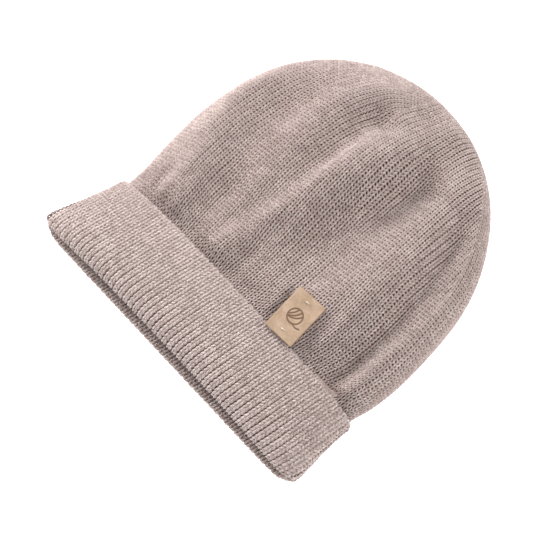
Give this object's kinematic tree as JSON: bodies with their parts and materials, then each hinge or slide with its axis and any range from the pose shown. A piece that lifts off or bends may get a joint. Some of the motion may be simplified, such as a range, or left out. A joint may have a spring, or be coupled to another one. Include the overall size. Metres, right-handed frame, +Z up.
{
  "type": "knit hat",
  "caption": "Small knitted cap with a folded-up ribbed cuff and a plain leather tag at the cuff's edge, lying on its back with its mouth open.",
  "frame": {"origin": "centre of the underside of the hat's bounding box, on the surface that it lies on", "axes": "+Y from the mouth to the tip of the crown, +X across the front wall towards the tag's side, +Z up out of the front wall"},
  "size_m": [0.2017, 0.2134, 0.0547],
  "materials": {
    "knit": "matt heathered cotton stocking stitch",
    "rib": "matt heathered cotton rib",
    "leather": "undyed vegetable-tanned, fine grain, satin",
    "thread": "waxed cream sewing thread"
  },
  "bodies": {
    "root": {"crown": "knit", "cuff": "rib", "label": "leather", "label_stitch_upper": "thread", "label_stitch_lower": "thread"}
  },
  "joints": []
}
